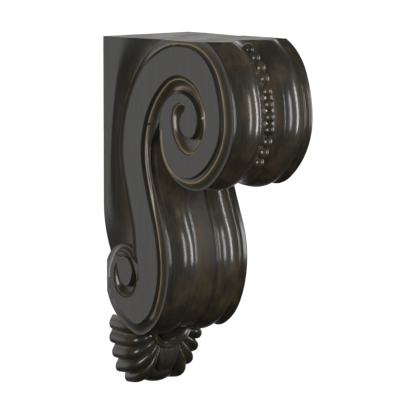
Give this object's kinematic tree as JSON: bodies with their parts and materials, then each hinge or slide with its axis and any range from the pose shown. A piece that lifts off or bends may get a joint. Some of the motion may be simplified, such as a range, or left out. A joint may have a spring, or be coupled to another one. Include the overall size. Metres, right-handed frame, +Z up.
{
  "type": "scroll corbel",
  "caption": "Carved scroll corbel: an S-shaped ribbon with a volute at each end, a moulded front band with a row of pearls, and a leaf drop below.",
  "frame": {"origin": "on the flat back face, midway across the width, 120 mm below the top face", "axes": "+Z up, the front faces -Y, the wall is the plane Y = 0, +X to the right seen from the front"},
  "size_m": [0.116, 0.1963, 0.363],
  "materials": {
    "dark_bronze_lacquer": "satin dark bronze-brown lacquer over carved wood, rubbed through to gold brown on the edges"
  },
  "bodies": {
    "root": {"scroll_corbel": "dark_bronze_lacquer"}
  },
  "joints": []
}
